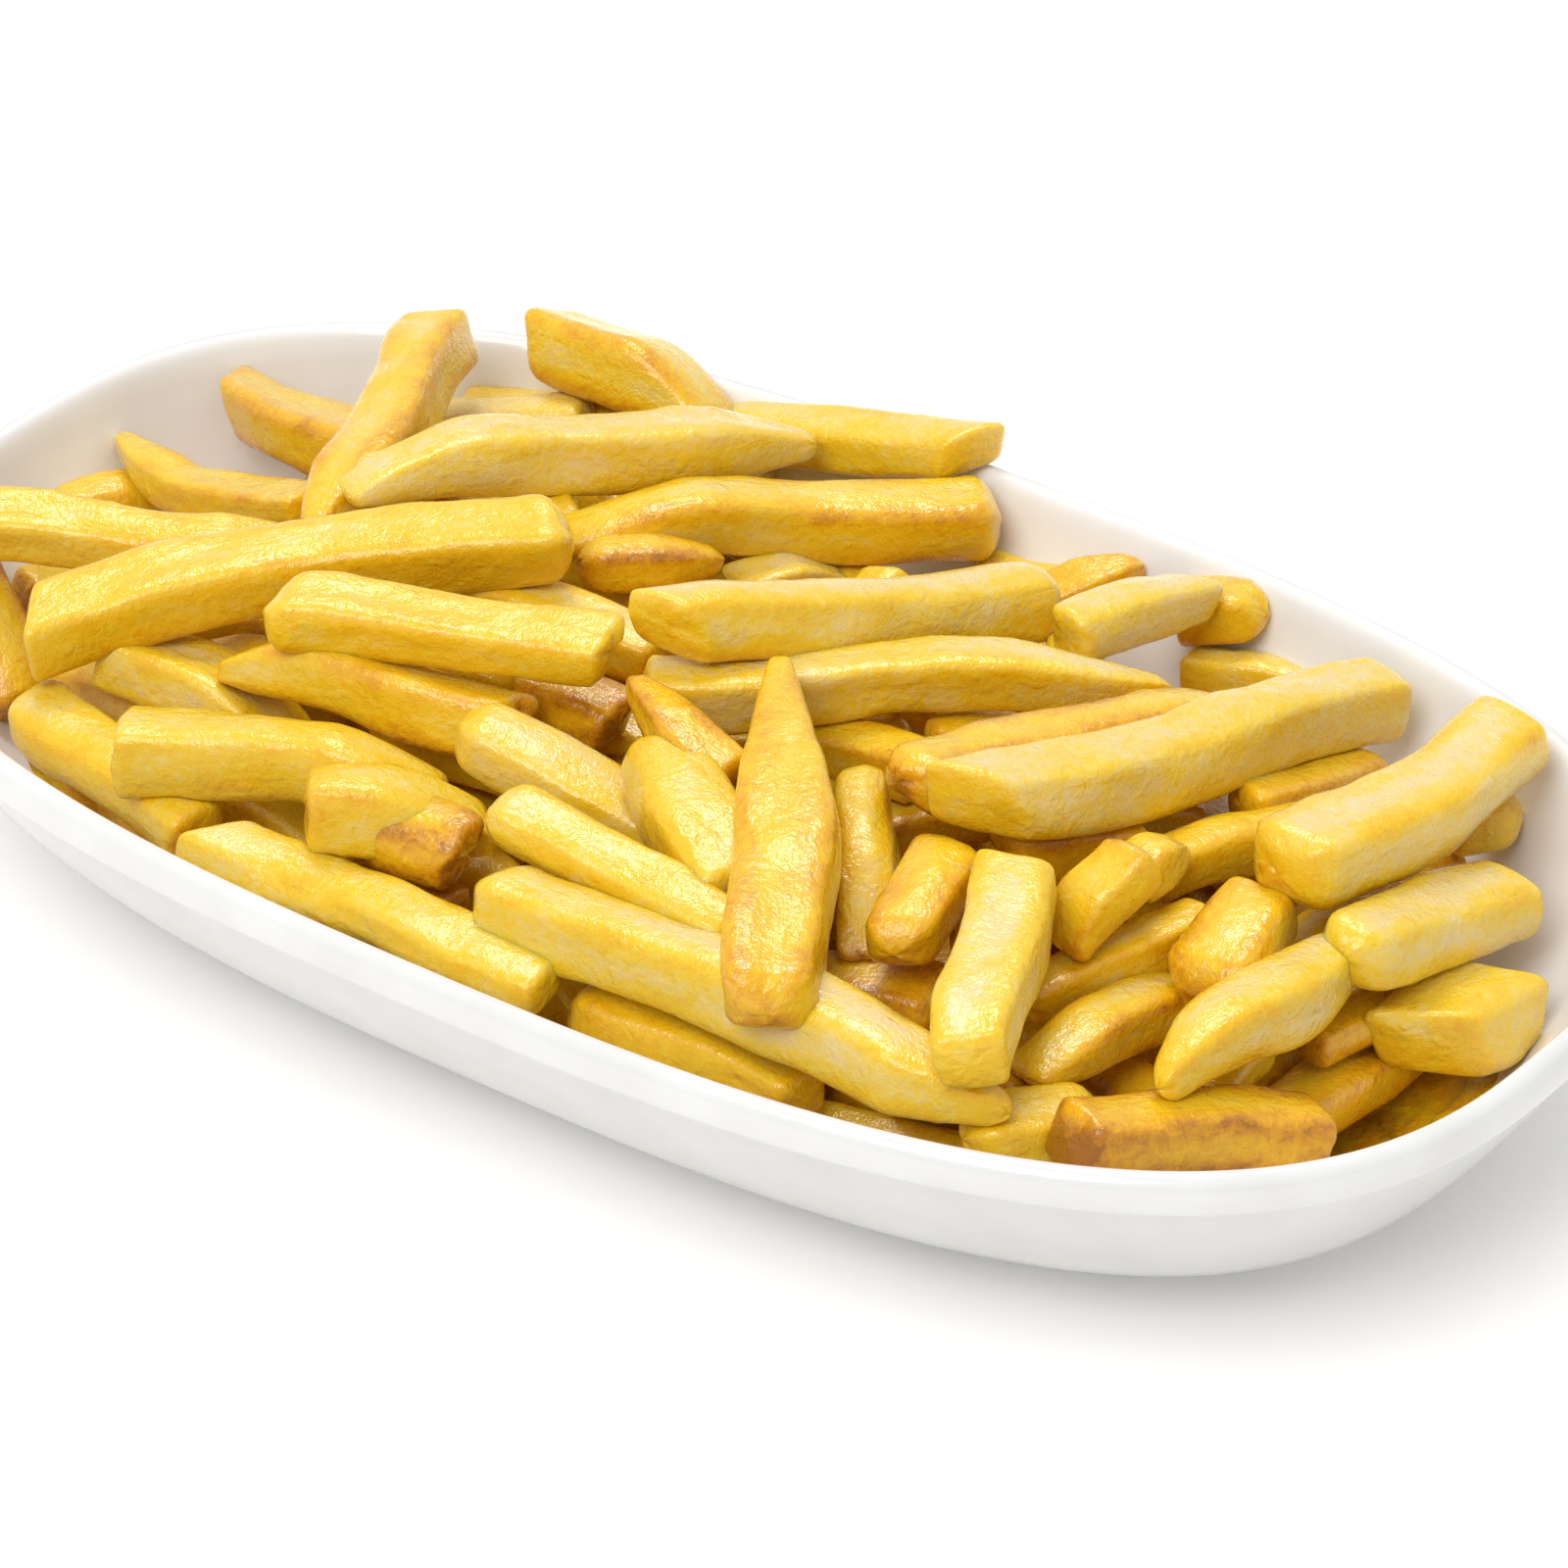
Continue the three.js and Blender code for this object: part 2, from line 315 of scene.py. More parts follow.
def glaze_material():
    material = bpy.data.materials.new("white_glaze")
    material.use_nodes = True
    tree = material.node_tree
    shader = tree.nodes["Principled BSDF"]
    place = add_node(tree, "ShaderNodeTexCoord").outputs["Object"]
    cloud = add_node(tree, "ShaderNodeTexNoise", Vector=place, Scale=60.0, Detail=3.0).outputs[0]
    wave = add_node(tree, "ShaderNodeTexNoise", Vector=place, Scale=26.0, Detail=1.0).outputs[0]
    pits = add_node(tree, "ShaderNodeTexNoise", Vector=place, Scale=900.0, Detail=2.0).outputs[0]
    painted_wall_light = add_node(tree, "ShaderNodeAttribute", {"attribute_name": "painted_wall_light"}).outputs["Fac"]
    cloudiness = mapped(tree, cloud, 0.3, 0.7, -0.1, 0.1)
    shade = combined(tree, "ADD", cloudiness, mapped(tree, painted_wall_light, 0.0, 1.0, 0.1, 0.9))
    # painted light and shade: the ramp runs from grey, down the outside wall, to white inside
    tint = add_node(tree, "ShaderNodeValToRGB", Fac=shade)
    tint.color_ramp.elements[0].color = (0.57, 0.566, 0.552, 1)
    tint.color_ramp.elements[1].color = (0.86, 0.868, 0.885, 1)
    tree.links.new(tint.outputs["Color"], shader.inputs["Base Color"])
    tree.links.new(mapped(tree, cloud, 0.3, 0.7, 0.10, 0.2), shader.inputs["Roughness"])
    height = combined(tree, "ADD", wave, combined(tree, "MULTIPLY", pits, 0.03))
    bump = add_node(tree, "ShaderNodeBump", Strength=0.5, Distance=0.00025, Height=height)
    tree.links.new(bump.outputs[0], shader.inputs["Normal"])
    shader.inputs["IOR"].default_value = 1.5
    return material


settle(dish, glaze_material())
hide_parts("dish")

# %% [markdown]
# ## How the bowl and the heap rise
#
# Three heights are needed again and again: the glaze under any point, the level that the top fries lie on,
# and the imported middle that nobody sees. The first is read back from the dish's own profile. The other two
# are simple: they rise from the rim towards the middle, and run out at the dish's ends.

# %% Heights over the plan
LEVEL_BY_INSET = [(2, 33), (10, 38), (20, 43), (35, 49), (50, 53), (65, 56), (80, 57)]
LEVEL_BY_END = [(-140, 0.62), (-112, 0.8), (-85, 1), (78, 1), (95, 0.86), (110, 0.66), (125, 0.42),
                (140, 0.25)]
FLOOR_LEVEL = 5
CORE_DEPTH = 37


def inset_of(x, y):
    """How far in from the rim's edge each point of the plan lies, found by halving."""
    x, y = np.abs(np.asarray(x, float)), np.abs(np.asarray(y, float))
    low, high = np.full(x.shape, -30.0), np.full(x.shape, HALF_WIDTH - 1)
    for _ in range(28):
        middle = (low + high) / 2
        outside = (x / (HALF_LENGTH - middle)) ** PLAN_POWER + (y / (HALF_WIDTH - middle)) ** PLAN_POWER > 1
        low, high = np.where(outside, low, middle), np.where(outside, middle, high)
    return (low + high) / 2


def bowl_height(x, y):
    return along(RIM[-2:] + INSIDE, inset_of(x, y))


def heap_level(x, y):
    rise = along(LEVEL_BY_INSET, inset_of(x, y)) - FLOOR_LEVEL
    return FLOOR_LEVEL + rise * along(LEVEL_BY_END, x)


def core_height(x, y):
    return np.maximum(heap_level(x, y) - CORE_DEPTH, bowl_height(x, y))


print("level in the middle, mm:", float(heap_level(0.0, 0.0)), " core:", float(core_height(0.0, 0.0)))

# %% [markdown]
# ## One fry
#
# A potato pushed through a grid of blades gives strips with a square section. Frying dries the skin, pulls
# the flat faces in and leaves the corners proud, and steam lifts small blisters. So one fry is a rounded
# square swept along a slightly bent line. Its size, corner and twist drift along the length, its ends
# follow one of a few cuts, and lumps of three sizes push the surface in and out.
#
# A box with a bevel and a displace modifier would be quicker, but the ends, which tell the eye what it is
# looking at, need their own shapes: a clean cut, a slanted cut, a wedge from the potato's rounded side, a
# point, or a torn end.

# %% The shape of one fry
CORNER_CROWDING = 0.35
SECTION_SHARE = 0.95
# how far the dome of an end reaches, and how square it is
POINT_DOME = (2.4, 2.0)
CUT_DOME = (1.9, 3.2)
DOMES = {"round": (4.6, 2.0), "narrow": (4.2, 2.0),
         "point": POINT_DOME, "point_left": POINT_DOME, "point_right": POINT_DOME}
TAPER_RUN = 16
# a slanted cut's lean to the side and upwards; any other end leans a little by chance
LEAN_SIDE = {"slant_left": 0.8, "slant_right": -0.8}
LEAN_UP = {"slant_up": 0.6, "slant_left": 0.35}
SLIGHT_LEAN = 0.2
# how far a corner or a face stands from the rounded square, by chance, and how much that drifts
CORNER_WANDER = ((-0.05, 0.02), 0.05)
FACE_WANDER = ((-0.16, 0.04), 0.13)


def stations(length, spacing, domes):
    """Places along a fry, close together at both ends where the surface turns over."""
    near = np.array([0.01, 0.05, 0.14, 0.3, 0.55, 0.8, 1.1])
    start, end = near * domes[0], length - near[::-1] * domes[1]
    middle = np.linspace(start[-1], end[0], max(4, int((end[0] - start[-1]) / spacing) + 2))
    return np.concatenate([start, middle[1:-1], end])


def end_shape(kind, distance, taper_run):
    """What is left of the section at a distance from an end, and its offsets, all as shares."""
    fall = (1 - np.clip(distance / taper_run, 0, 1)) ** 1.5
    width, thick = np.ones(distance.shape), np.ones(distance.shape)
    aside, up = np.zeros(distance.shape), np.zeros(distance.shape)
    if kind == "wedge":
        width, thick = 1 - 0.12 * fall, 1 - 0.7 * fall
        up = thick - 1
    if kind in ("point", "point_left", "point_right"):
        width, thick = 1 - 0.72 * fall, 1 - 0.6 * fall
        sign = {"point": 0, "point_left": 1, "point_right": -1}[kind]
        aside = sign * (1 - width) * 0.95
        up = (thick - 1) * 0.5
    if kind == "narrow":
        width, thick = 1 - 0.45 * fall, 1 - 0.35 * fall
    # the end itself is a dome, flat for a cut and full for a rounded one
    reach, power = DOMES.get(kind, CUT_DOME)
    dome = (1 - (1 - np.clip(distance / reach, 0, 1)) ** power) ** (1 / power)
    return width * dome, thick * dome, aside, up


def fry_surface(tail, tip, width, thick, ends=("cut", "cut"), bend=0, sag=0, roll=0, belly=None, tone=0.4,
                taper_run=TAPER_RUN, crusty=None, seed=0, spacing=0.95, around=44):
    """Points, faces and per-point values of one fry between two ends, in millimetres."""
    random = np.random.default_rng(seed)
    tail, tip = np.array(tail, float), np.array(tip, float)
    length = float(np.linalg.norm(tip - tail))
    run = stations(length, spacing, [DOMES.get(kind, CUT_DOME)[0] for kind in ends])
    share = run / length
    rings = len(run)
    forward = (tip - tail) / length
    side = np.cross([0, 0, 1], forward)
    side /= np.linalg.norm(side)
    over = np.cross(forward, side)

    # the line that it follows, with its bend and a slight waver
    arch = 4 * share * (1 - share)
    waver = 0.014 * length * np.sin(math.pi * share * random.uniform(1.3, 2.6) + random.uniform(0, 6))
    lift = 0.008 * length * np.sin(math.pi * share * random.uniform(1.3, 2.4) + random.uniform(0, 6))
    line = (tail + np.outer(run, forward) + np.outer(arch * bend + waver, side)
            + np.outer(arch * sag + lift, over))

    # half sizes along it: a belly, a taper, and slow swellings
    drift = random.uniform(0, 900, 3)
    track = np.column_stack([run, np.zeros_like(run), np.zeros_like(run)])
    belly = random.uniform(-0.02, 0.1) if belly is None else belly
    taper = random.uniform(-0.08, 0.08, 2)
    halves = []
    width, thick = width * SECTION_SHARE, thick * SECTION_SHARE
    for axis, size in ((0, width / 2), (1, thick / 2)):
        shift = (axis + 1) * drift
        swell = 1 + 0.07 * lumps(track + shift, 17) + 0.035 * lumps(track - shift, 6)
        lean = 1 + taper[axis] * (2 * share - 1)
        halves.append(size * swell * lean * (1 + belly * (arch - 0.6)))
    runs = [min(TAPER_RUN if kind == "narrow" else taper_run, 0.55 * length) for kind in ends]
    w1, t1, a1, u1 = end_shape(ends[0], run, runs[0])
    w2, t2, a2, u2 = end_shape(ends[1], length - run, runs[1])
    half_width, half_thick = halves[0] * w1 * w2, halves[1] * t1 * t2
    aside, up = (a1 + a2) * width / 2, (u1 + u2) * thick / 2

    # the section: a rounded square whose points crowd at the corners, with pulled-in faces
    angle = np.linspace(0, 2 * math.pi, around, endpoint=False)
    angle = angle + CORNER_CROWDING * np.sin(4 * angle) / 4
    c, s = np.cos(angle), np.sin(angle)
    power = 5.4 + 1.4 * lumps(track + 3 * drift, 14)[:, None] + random.uniform(-0.6, 0.9)
    reach = (np.abs(c) ** power + np.abs(s) ** power) ** (-1 / power)
    # each corner and each face wanders by itself, so that no two faces stay parallel
    for way in range(8):
        facing = np.clip(np.cos(angle - way * math.pi / 4), 0, 1) ** 7
        still, moving = FACE_WANDER if way % 2 else CORNER_WANDER
        wander = random.uniform(*still) + moving * lumps(track + (4 + way) * drift, 19)
        reach = reach * (1 + wander[:, None] * facing)
    turn = math.radians(roll) + math.radians(random.uniform(-9, 9)) * (share - 0.5)
    wide, high = reach * c * half_width[:, None], reach * s * half_thick[:, None]
    across = wide * np.cos(turn)[:, None] - high * np.sin(turn)[:, None] + aside[:, None]
    upward = wide * np.sin(turn)[:, None] + high * np.cos(turn)[:, None] + up[:, None]

    # slanted and torn cuts slide the last points along the fry
    slide = np.zeros_like(across)
    for end, kind in enumerate(ends):
        distance = run if end == 0 else length - run
        near = np.clip(1 - distance / (1.1 * width), 0, 1)[:, None] ** 1.2
        outward = -1 if end == 0 else 1
        lean_side = LEAN_SIDE.get(kind, random.uniform(-SLIGHT_LEAN, SLIGHT_LEAN))
        lean_up = LEAN_UP.get(kind, random.uniform(-SLIGHT_LEAN, SLIGHT_LEAN))
        slide += outward * near * (lean_side * across + lean_up * upward)
        ragged = 1.5 if kind == "torn" else 0.4
        jag = lumps(np.column_stack([np.repeat(drift[0] + 9 * end, around), 3 * c, 3 * s]), 1.8)
        slide += outward * near ** 3 * ragged * jag[None, :]

    points = line[:, None, :] + across[..., None] * side + upward[..., None] * over
    points = (points + slide[..., None] * forward).reshape(-1, 3)

    # the skin: dents, ripples and small blisters, pushed straight out from the fry's own line
    own = np.stack([run[:, None] + slide, across, upward], axis=-1).reshape(-1, 3) + drift
    blister = np.clip(lumps(own * [0.8, 1, 1] + 40, 1.7) - 0.2, 0, 1) * np.clip(lumps(own + 70, 8), 0, 1)
    push = 0.3 * lumps(own, 7) + 0.16 * lumps(own * [0.6, 1, 1] + 20, 3.4) + 0.05 * lumps(own + 30, 1.5)
    push = push + 0.6 * blister
    fullness = np.repeat(np.minimum(w1, w2), around)
    outward = (c[None, :, None] * side + s[None, :, None] * over) * np.ones((rings, 1, 1))
    points = points + outward.reshape(-1, 3) * (push * fullness)[:, None]

    # browning gathers on corners and ends
    corner = np.abs(np.sin(2 * angle)) ** 2.5
    to_end = np.minimum(run, length - run)
    crust = np.maximum(0.8 * corner[None, :] * np.ones((rings, 1)), np.exp(-to_end / 2.6)[:, None])
    crusty = random.uniform(0.2, 1.3) if crusty is None else crusty
    crust = crust.reshape(-1) * (0.75 + 0.5 * lumps(own + 90, 5)) * crusty

    # painted light and shade: each fry's upper side is painted paler and its underside more golden, as light
    # falls from above
    painted_top_light = np.sin(angle[None, :] + turn[:, None])

    # one point closes each dome
    first, last = points[:around].mean(axis=0), points[-around:].mean(axis=0)
    own_ends = [own[:around].mean(axis=0), own[-around:].mean(axis=0)]
    faces = ring_faces(rings, around)
    count = len(points)
    for k in range(around):
        after = (k + 1) % around
        faces.append((count, after, k))
        faces.append((count + 1, (rings - 1) * around + k, (rings - 1) * around + after))
    points = np.vstack([points, first - 0.03 * forward, last + 0.03 * forward])
    crust = np.concatenate([crust, [crust[:around].mean(), crust[-around:].mean()]])
    return points, faces, {
        "crust": np.clip(crust, 0, 1.6),
        # the tone holds the fry's own tone less the painted top light
        "tone": tone - np.append(0.06 * painted_top_light.reshape(-1), [0, 0]),
        "grain": np.vstack([own, own_ends]),
    }


def joined(surfaces):
    """Several surfaces as one: their points, faces and values strung together."""
    points, faces, values, start = [], [], {}, 0
    for surface_points, surface_faces, surface_values in surfaces:
        points.append(surface_points)
        faces += [tuple(n + start for n in face) for face in surface_faces]
        for key, data in surface_values.items():
            values.setdefault(key, []).append(data)
        start += len(surface_points)
    return np.vstack(points), faces, {key: np.concatenate(data) for key, data in values.items()}


# %% [markdown]
# ## The fries that show
#
# Each fry that shows has its two ends, its section, how its ends are cut, how far it bends, and how golden
# it is, from 0 for cream to 1 for brown. A physics drop would give a believable heap but never this one.
#
# The places of the ends don't follow from the dish's size and can't be worked out here. They began as a
# separate solver's output in whole millimetres: the ends were marked by eye, and the solver set where and how
# high each lies. Half the rows were then moved, most of them by a millimetre or two. The other columns were
# chosen. The fries are listed by where they lie.

# %% Placed fries
# tail x, y, z, tip x, y, z, width, thickness, tail end, tip end, tone, and any bend, sag or roll
LEFT_END = [
    (-95, 54, 46, -73, -6, 48, 12, 10.5, "round", "point", 0.36, {"roll": 12}),
    (-123, 35, 33, -74, 24, 40, 12.5, 10, "slant_left", "cut", 0.46, {"roll": -8}),
    (-132, 15, 32, -83, 5, 42, 8, 6.5, "point_left", "cut", 0.36, {"sag": -3}),
    (-131, 0, 31, -116, 28, 19, 9, 8, "wedge", "cut", 0.45, {}),
    (-124, -15, 22, -121, -1, 18, 9, 8, "cut", "cut", 0.5, {}),
    (-115, 2, 22, -97, 2, 31, 9, 8, "cut", "cut", 0.15, {}),
    (-123, -26, 40, -75, -3, 42, 9.5, 8, "cut", "wedge", 0.4, {"roll": 10}),
    (-132, -22, 38, -107, -34, 18, 11, 9, "round", "cut", 0.55, {}),
    (-103, -31, 24, -78, -33, 27, 9, 8, "cut", "cut", 0.62, {}),
    (-90, -32, 33, -57, -31, 33, 14, 10, "cut", "wedge", 0.18, {"roll": -14}),
    (-96, -45, 29, -54, -56, 28, 12, 10.5, "round", "cut", 0.3, {"roll": 10}),
    (-89, 22, 33, -83, 31, 31, 8, 7, "cut", "cut", 0.6, {}),
    (-97, -43, 39, -36, 8, 52, 12.5, 11.5, "cut", "round", 0.36, {"bend": 5, "roll": 6}),
]
FAR_SIDE = [
    (-96, 57, 30, -71, 66, 32, 9, 8, "cut", "cut", 0.42, {}),
    (-97, 49, 30, -72, 59, 36, 9, 8, "cut", "cut", 0.12, {}),
    (-52, 65, 43, -84, 65, 42, 15, 12.5, "wedge", "slant_up", 0.3, {"roll": 25}),
    (-61, 68, 33, -11, 75, 44, 10, 8, "cut", "slant_left", 0.28, {}),
    (-60, 65, 26, -45, 69, 30, 8, 6, "cut", "cut", 0.12, {}),
    (-74, 1, 53, -36, 67, 43, 12, 10.5, "wedge", "point_right", 0.2,
     {"roll": -8, "belly": 0.25, "taper_run": 22}),
    (-48, 21, 46, -5, 72, 35, 13, 11.5, "wedge", "round", 0.28, {"taper_run": 22}),
    (-40, 14, 44, -26, 31, 42, 10, 8, "round", "point", 0.57, {}),
    (-27, 34, 37, -18, 51, 33, 7, 4, "wedge", "wedge", 0.1, {}),
    (-6, 68, 27, 9, 69, 29, 9, 7, "cut", "cut", 0.4, {}),
    (10, 62, 30, 20, 73, 37, 9, 8, "cut", "point", 0.6, {}),
    (29, 70, 33, 43, 72, 37, 10, 9, "cut", "round", 0.42, {}),
    (33, 67, 26, 55, 69, 31, 8, 7, "cut", "point", 0.3, {}),
    (29, 40, 44, 34, 65, 40, 10, 9, "cut", "slant_right", 0.16, {}),
]
MIDDLE = [
    (-53, 2, 41, -17, 5, 41, 9, 8, "slant_left", "cut", 0.2, {}),
    (-32, -11, 40, -13, -12, 39, 9, 8, "round", "cut", 0.66, {"crusty": 1.2}),
    (-69, -32, 42, -22, -23, 41, 12, 11, "wedge", "torn", 0.36, {"roll": -18}),
    (-60, -33, 51, -13, -13, 52, 11, 9.5, "round", "torn", 0.35, {"roll": 8, "bend": 2}),
    (5, 3, 38, 31, 3, 40, 9, 8, "cut", "cut", 0.5, {}),
    (25, 12, 38, 33, 25, 36, 9, 8, "cut", "cut", 0.5, {}),
    (50, -7, 40, 63, 10, 37, 9.5, 9, "cut", "cut", 0.62, {}),
    (-9, -12, 47, 48, 39, 45, 11, 10, "cut", "point", 0.22, {"taper_run": 24}),
    (-6, -10, 58, 20, 50, 42, 12, 10.5, "slant_left", "round", 0.16, {"roll": -4}),
    (38, -14, 50, 57, 43, 42, 11, 9.5, "round", "point", 0.44, {"crusty": 1.5}),
    (53, -16, 54, 71, 65, 36, 12, 11.5, "slant_left", "round", 0.2, {}),
    (68, 3, 38, 79, 28, 37, 9.5, 9, "cut", "cut", 0.55, {}),
    (69, 26, 37, 73, 56, 29, 9.5, 8.5, "cut", "round", 0.5, {}),
    (70, -5, 42, 74, 4, 45, 9, 8, "cut", "point", 0.3, {}),
    (70, -22, 41, 74, -7, 49, 11, 9.5, "wedge", "cut", 0.36, {}),
    (69, -28, 33, 79, 1, 36, 8.5, 8, "cut", "cut", 0.3, {}),
]
NEAR_SIDE = [
    (-69, -56, 37, -25, -38, 41, 13, 11.5, "cut", "wedge", 0.36, {"roll": -6}),
    (-34, -57, 41, -13, -42, 42, 13, 12, "cut", "wedge", 0.34, {}),
    (-33, -50, 40, -10, -51, 39, 11.5, 10, "slant_right", "torn", 0.64, {"crusty": 1.1, "roll": 12}),
    (-20, -47, 30, -11, -52, 30, 6, 6, "cut", "cut", 0.9, {}),
    (-46, -62, 33, 14, -63, 33, 11.5, 9.5, "slant_right", "cut", 0.26, {"roll": 6}),
    (14, -57, 28, 53, -56, 27, 10, 9, "round", "cut", 0.5, {}),
    (-26, -32, 45, 9, -26, 34, 11, 9.5, "round", "cut", 0.2, {}),
    (-8, -47, 46, 34, -47, 40, 9, 8, "round", "cut", 0.3, {"roll": 8}),
    (1, -21, 46, 29, -41, 42, 13.5, 11.5, "round", "cut", 0.3, {}),
    (-8, -16, 52, 16, -23, 46, 9, 7.5, "point", "cut", 0.6, {"crusty": 1.3}),
    (27, -7, 44, 48, -35, 39, 9.5, 9, "round", "wedge", 0.34, {}),
    (41, -39, 30, 60, -34, 32, 11, 10, "cut", "cut", 0.62, {}),
    (-2, -55, 39, 84, -56, 37, 13, 11.5, "round", "point_left", 0.12, {"roll": -6, "sag": 1}),
    (49, -17, 45, 57, -41, 44, 12, 10, "round", "round", 0.44, {}),
    (10, -2, 55, 53, -64, 45, 14.5, 11.5, "point", "round", 0.5,
     {"roll": 4, "belly": 0.2, "taper_run": 40}),
    (63, -20, 49, 81, -58, 45, 12, 10, "cut", "cut", 0.14, {"roll": 4}),
    (74, -44, 29, 77, -35, 27, 9, 8, "cut", "cut", 0.5, {}),
    (78, -41, 36, 83, -9, 29, 10.5, 9, "wedge", "cut", 0.26, {"crusty": 1.6}),
    (78, -55, 30, 90, -39, 28, 11, 9, "round", "round", 0.3, {}),
]
RIGHT_END = [
    (90, 49, 30, 97, 57, 31, 10, 9, "cut", "round", 0.3, {}),
    (86, 30, 26, 89, 53, 21, 10, 9, "cut", "round", 0.48, {}),
    (89, 9, 32, 94, 30, 29, 9.5, 8, "wedge", "cut", 0.4, {}),
    (87, 6, 39, 90, -15, 35, 13, 10, "cut", "round", 0.36, {"roll": 10, "crusty": 1.4}),
    (91, 3, 46, 95, 59, 41, 15, 12.5, "round", "cut", 0.1,
     {"bend": -0.5, "sag": -0.5, "belly": 0, "crusty": 1.5}),
    (102, -12, 18, 101, 22, 14, 12, 10, "cut", "cut", 0.46, {}),
    (101, -4, 26, 105, 22, 22, 8, 7, "cut", "cut", 0.72, {}),
    (92, -51, 34, 111, -18, 24, 11.5, 10.5, "cut", "cut", 0.64, {"crusty": 1.3}),
    (98, -38, 39, 101, 5, 37, 12.5, 11.5, "point", "narrow", 0.16, {"crusty": 1.2}),
    (103, -1, 40, 107, 38, 30, 12, 10.5, "round", "cut", 0.14, {}),
    (112, 8, 24, 113, 25, 22, 14.5, 12.5, "slant_left", "slant_right", 0.34, {}),
]
placed = LEFT_END + FAR_SIDE + MIDDLE + NEAR_SIDE + RIGHT_END
lengths = [math.dist(row[0:3], row[3:6]) for row in placed]
print(f"placed fries: {len(placed)}, {min(lengths):.0f} to {max(lengths):.0f} mm long")

# %% Build the placed fries by how golden they are
KIND_LIMITS = {"pale_fries": (0, 0.33), "golden_fries": (0.33, 0.55), "browned_fries": (0.55, 1.01)}
surfaces = {kind: [] for kind in KIND_LIMITS}
for number, row in enumerate(placed):
    *ends_mm, width, thick, tail_end, tip_end, tone, extra = row
    surface = fry_surface(ends_mm[:3], ends_mm[3:], width, thick, (tail_end, tip_end), tone=tone,
                          seed=100 + number, **extra)
    for kind, (low, high) in KIND_LIMITS.items():
        if low <= tone < high:
            surfaces[kind].append(surface)
fry_pieces = {kind: make_piece(kind, *joined(found)) for kind, found in surfaces.items()}

# %% [markdown]
# ## The fries underneath
#
# Between and behind the placed fries more are seen, in gaps and from the back. These are dropped by rule: a
# random strip is laid on a height map of the core, tipped to rest on its two highest supports, and its own
# upper side is then added to the map. One that would cut into a placed fry, stand over the heap's level, or
# hide a placed fry from the front is thrown away.

# %% Lay the filling fries
MAP_STEP = 1.5
BEADS = 11
map_x = np.arange(-HALF_LENGTH, HALF_LENGTH + MAP_STEP, MAP_STEP)
map_y = np.arange(-HALF_WIDTH, HALF_WIDTH + MAP_STEP, MAP_STEP)
grid_x, grid_y = np.meshgrid(map_x, map_y, indexing="ij")
height_map = core_height(grid_x, grid_y)


def map_height(points):
    i = np.clip(np.rint((points[:, 0] - map_x[0]) / MAP_STEP).astype(int), 0, len(map_x) - 1)
    j = np.clip(np.rint((points[:, 1] - map_y[0]) / MAP_STEP).astype(int), 0, len(map_y) - 1)
    return height_map[i, j]


def rest_line(start, end, half):
    """Heights of both ends of a stick that lies on the map."""
    share = np.linspace(0, 1, 16)
    track = start + np.outer(share, end - start)
    side = np.array([-(end - start)[1], (end - start)[0]]) / np.linalg.norm(end - start)
    need = np.max([map_height(track + side * half * o) for o in (-0.7, 0, 0.7)], axis=0) + half - 0.5
    best = None
    for a in range(16):
        for b in range(a + 1, 16):
            if share[a] <= 0.5 <= share[b]:
                slope = (need[b] - need[a]) / (share[b] - share[a])
                line = need[a] + slope * (share - share[a])
                if np.all(line >= need - 0.01) and (best is None or line.sum() < best.sum()):
                    best = line
    return None if best is None else (best[0], best[-1])


def beads(tail, tip):
    return tail + np.outer(np.linspace(0, 1, BEADS), tip - tail)


def add_to_map(tail, tip, half):
    run = tip[:2] - tail[:2]
    length = np.linalg.norm(run)
    along_it = ((grid_x - tail[0]) * run[0] + (grid_y - tail[1]) * run[1]) / length ** 2
    aside = np.abs((grid_y - tail[1]) * run[0] - (grid_x - tail[0]) * run[1]) / length
    inside = (along_it >= 0) & (along_it <= 1) & (aside < half)
    rounding = (1 - np.clip(aside / half, 0, 1) ** 3) ** (1 / 3)
    top = tail[2] + (tip[2] - tail[2]) * along_it + half * rounding
    height_map[inside] = np.maximum(height_map[inside], top[inside])


placed_ends = [(np.array(row[0:3], float), np.array(row[3:6], float)) for row in placed]
placed_beads = np.vstack([beads(tail, tip) for tail, tip in placed_ends])
placed_radius = np.repeat([(row[6] + row[7]) / 4 for row in placed], BEADS)

FILL_TRIES = 12000
FILL_LENGTHS = (18, 74)
FILL_HALVES = (4.3, 5.3)
STEEPEST = 0.45
NEAREST_RIM = 7
DEEPEST_CUT = 2.6
fill_random = np.random.default_rng(5)
filling = []
for _ in range(FILL_TRIES):
    spread = fill_random.uniform(0, 1) ** 0.5
    x, y = plan_point(np.array([fill_random.uniform(0, 2 * math.pi)]), 14)
    middle = np.array([x[0], y[0]]) * spread
    length = fill_random.uniform(*FILL_LENGTHS)
    heading = fill_random.uniform(0, math.pi)
    half = fill_random.uniform(*FILL_HALVES)
    step = np.array([math.cos(heading), math.sin(heading)]) * length / 2
    rest = rest_line(middle - step, middle + step, half)
    if rest is None or abs(rest[1] - rest[0]) > STEEPEST * length:
        continue
    tail, tip = np.append(middle - step, rest[0]), np.append(middle + step, rest[1])
    points = beads(tail, tip)
    if np.any(inset_of(points[:, 0], points[:, 1]) < NEAREST_RIM):
        continue
    if np.any(points[:, 2] + half > heap_level(points[:, 0], points[:, 1]) + 1):
        continue
    gap = points[:, None, :] - placed_beads[None, :, :]
    apart = np.linalg.norm(gap, axis=2) - half - placed_radius
    if apart.min() < -DEEPEST_CUT:
        continue
    nearer = gap @ to_camera > 0
    seen_apart = np.hypot(gap @ view_right, gap @ view_up) - half - 0.7 * placed_radius
    if np.any(nearer & (seen_apart < 0)):
        continue
    filling.append((tail, tip, half))
    add_to_map(tail, tip, half)
print(f"filling fries: {len(filling)} kept of {FILL_TRIES} tried")

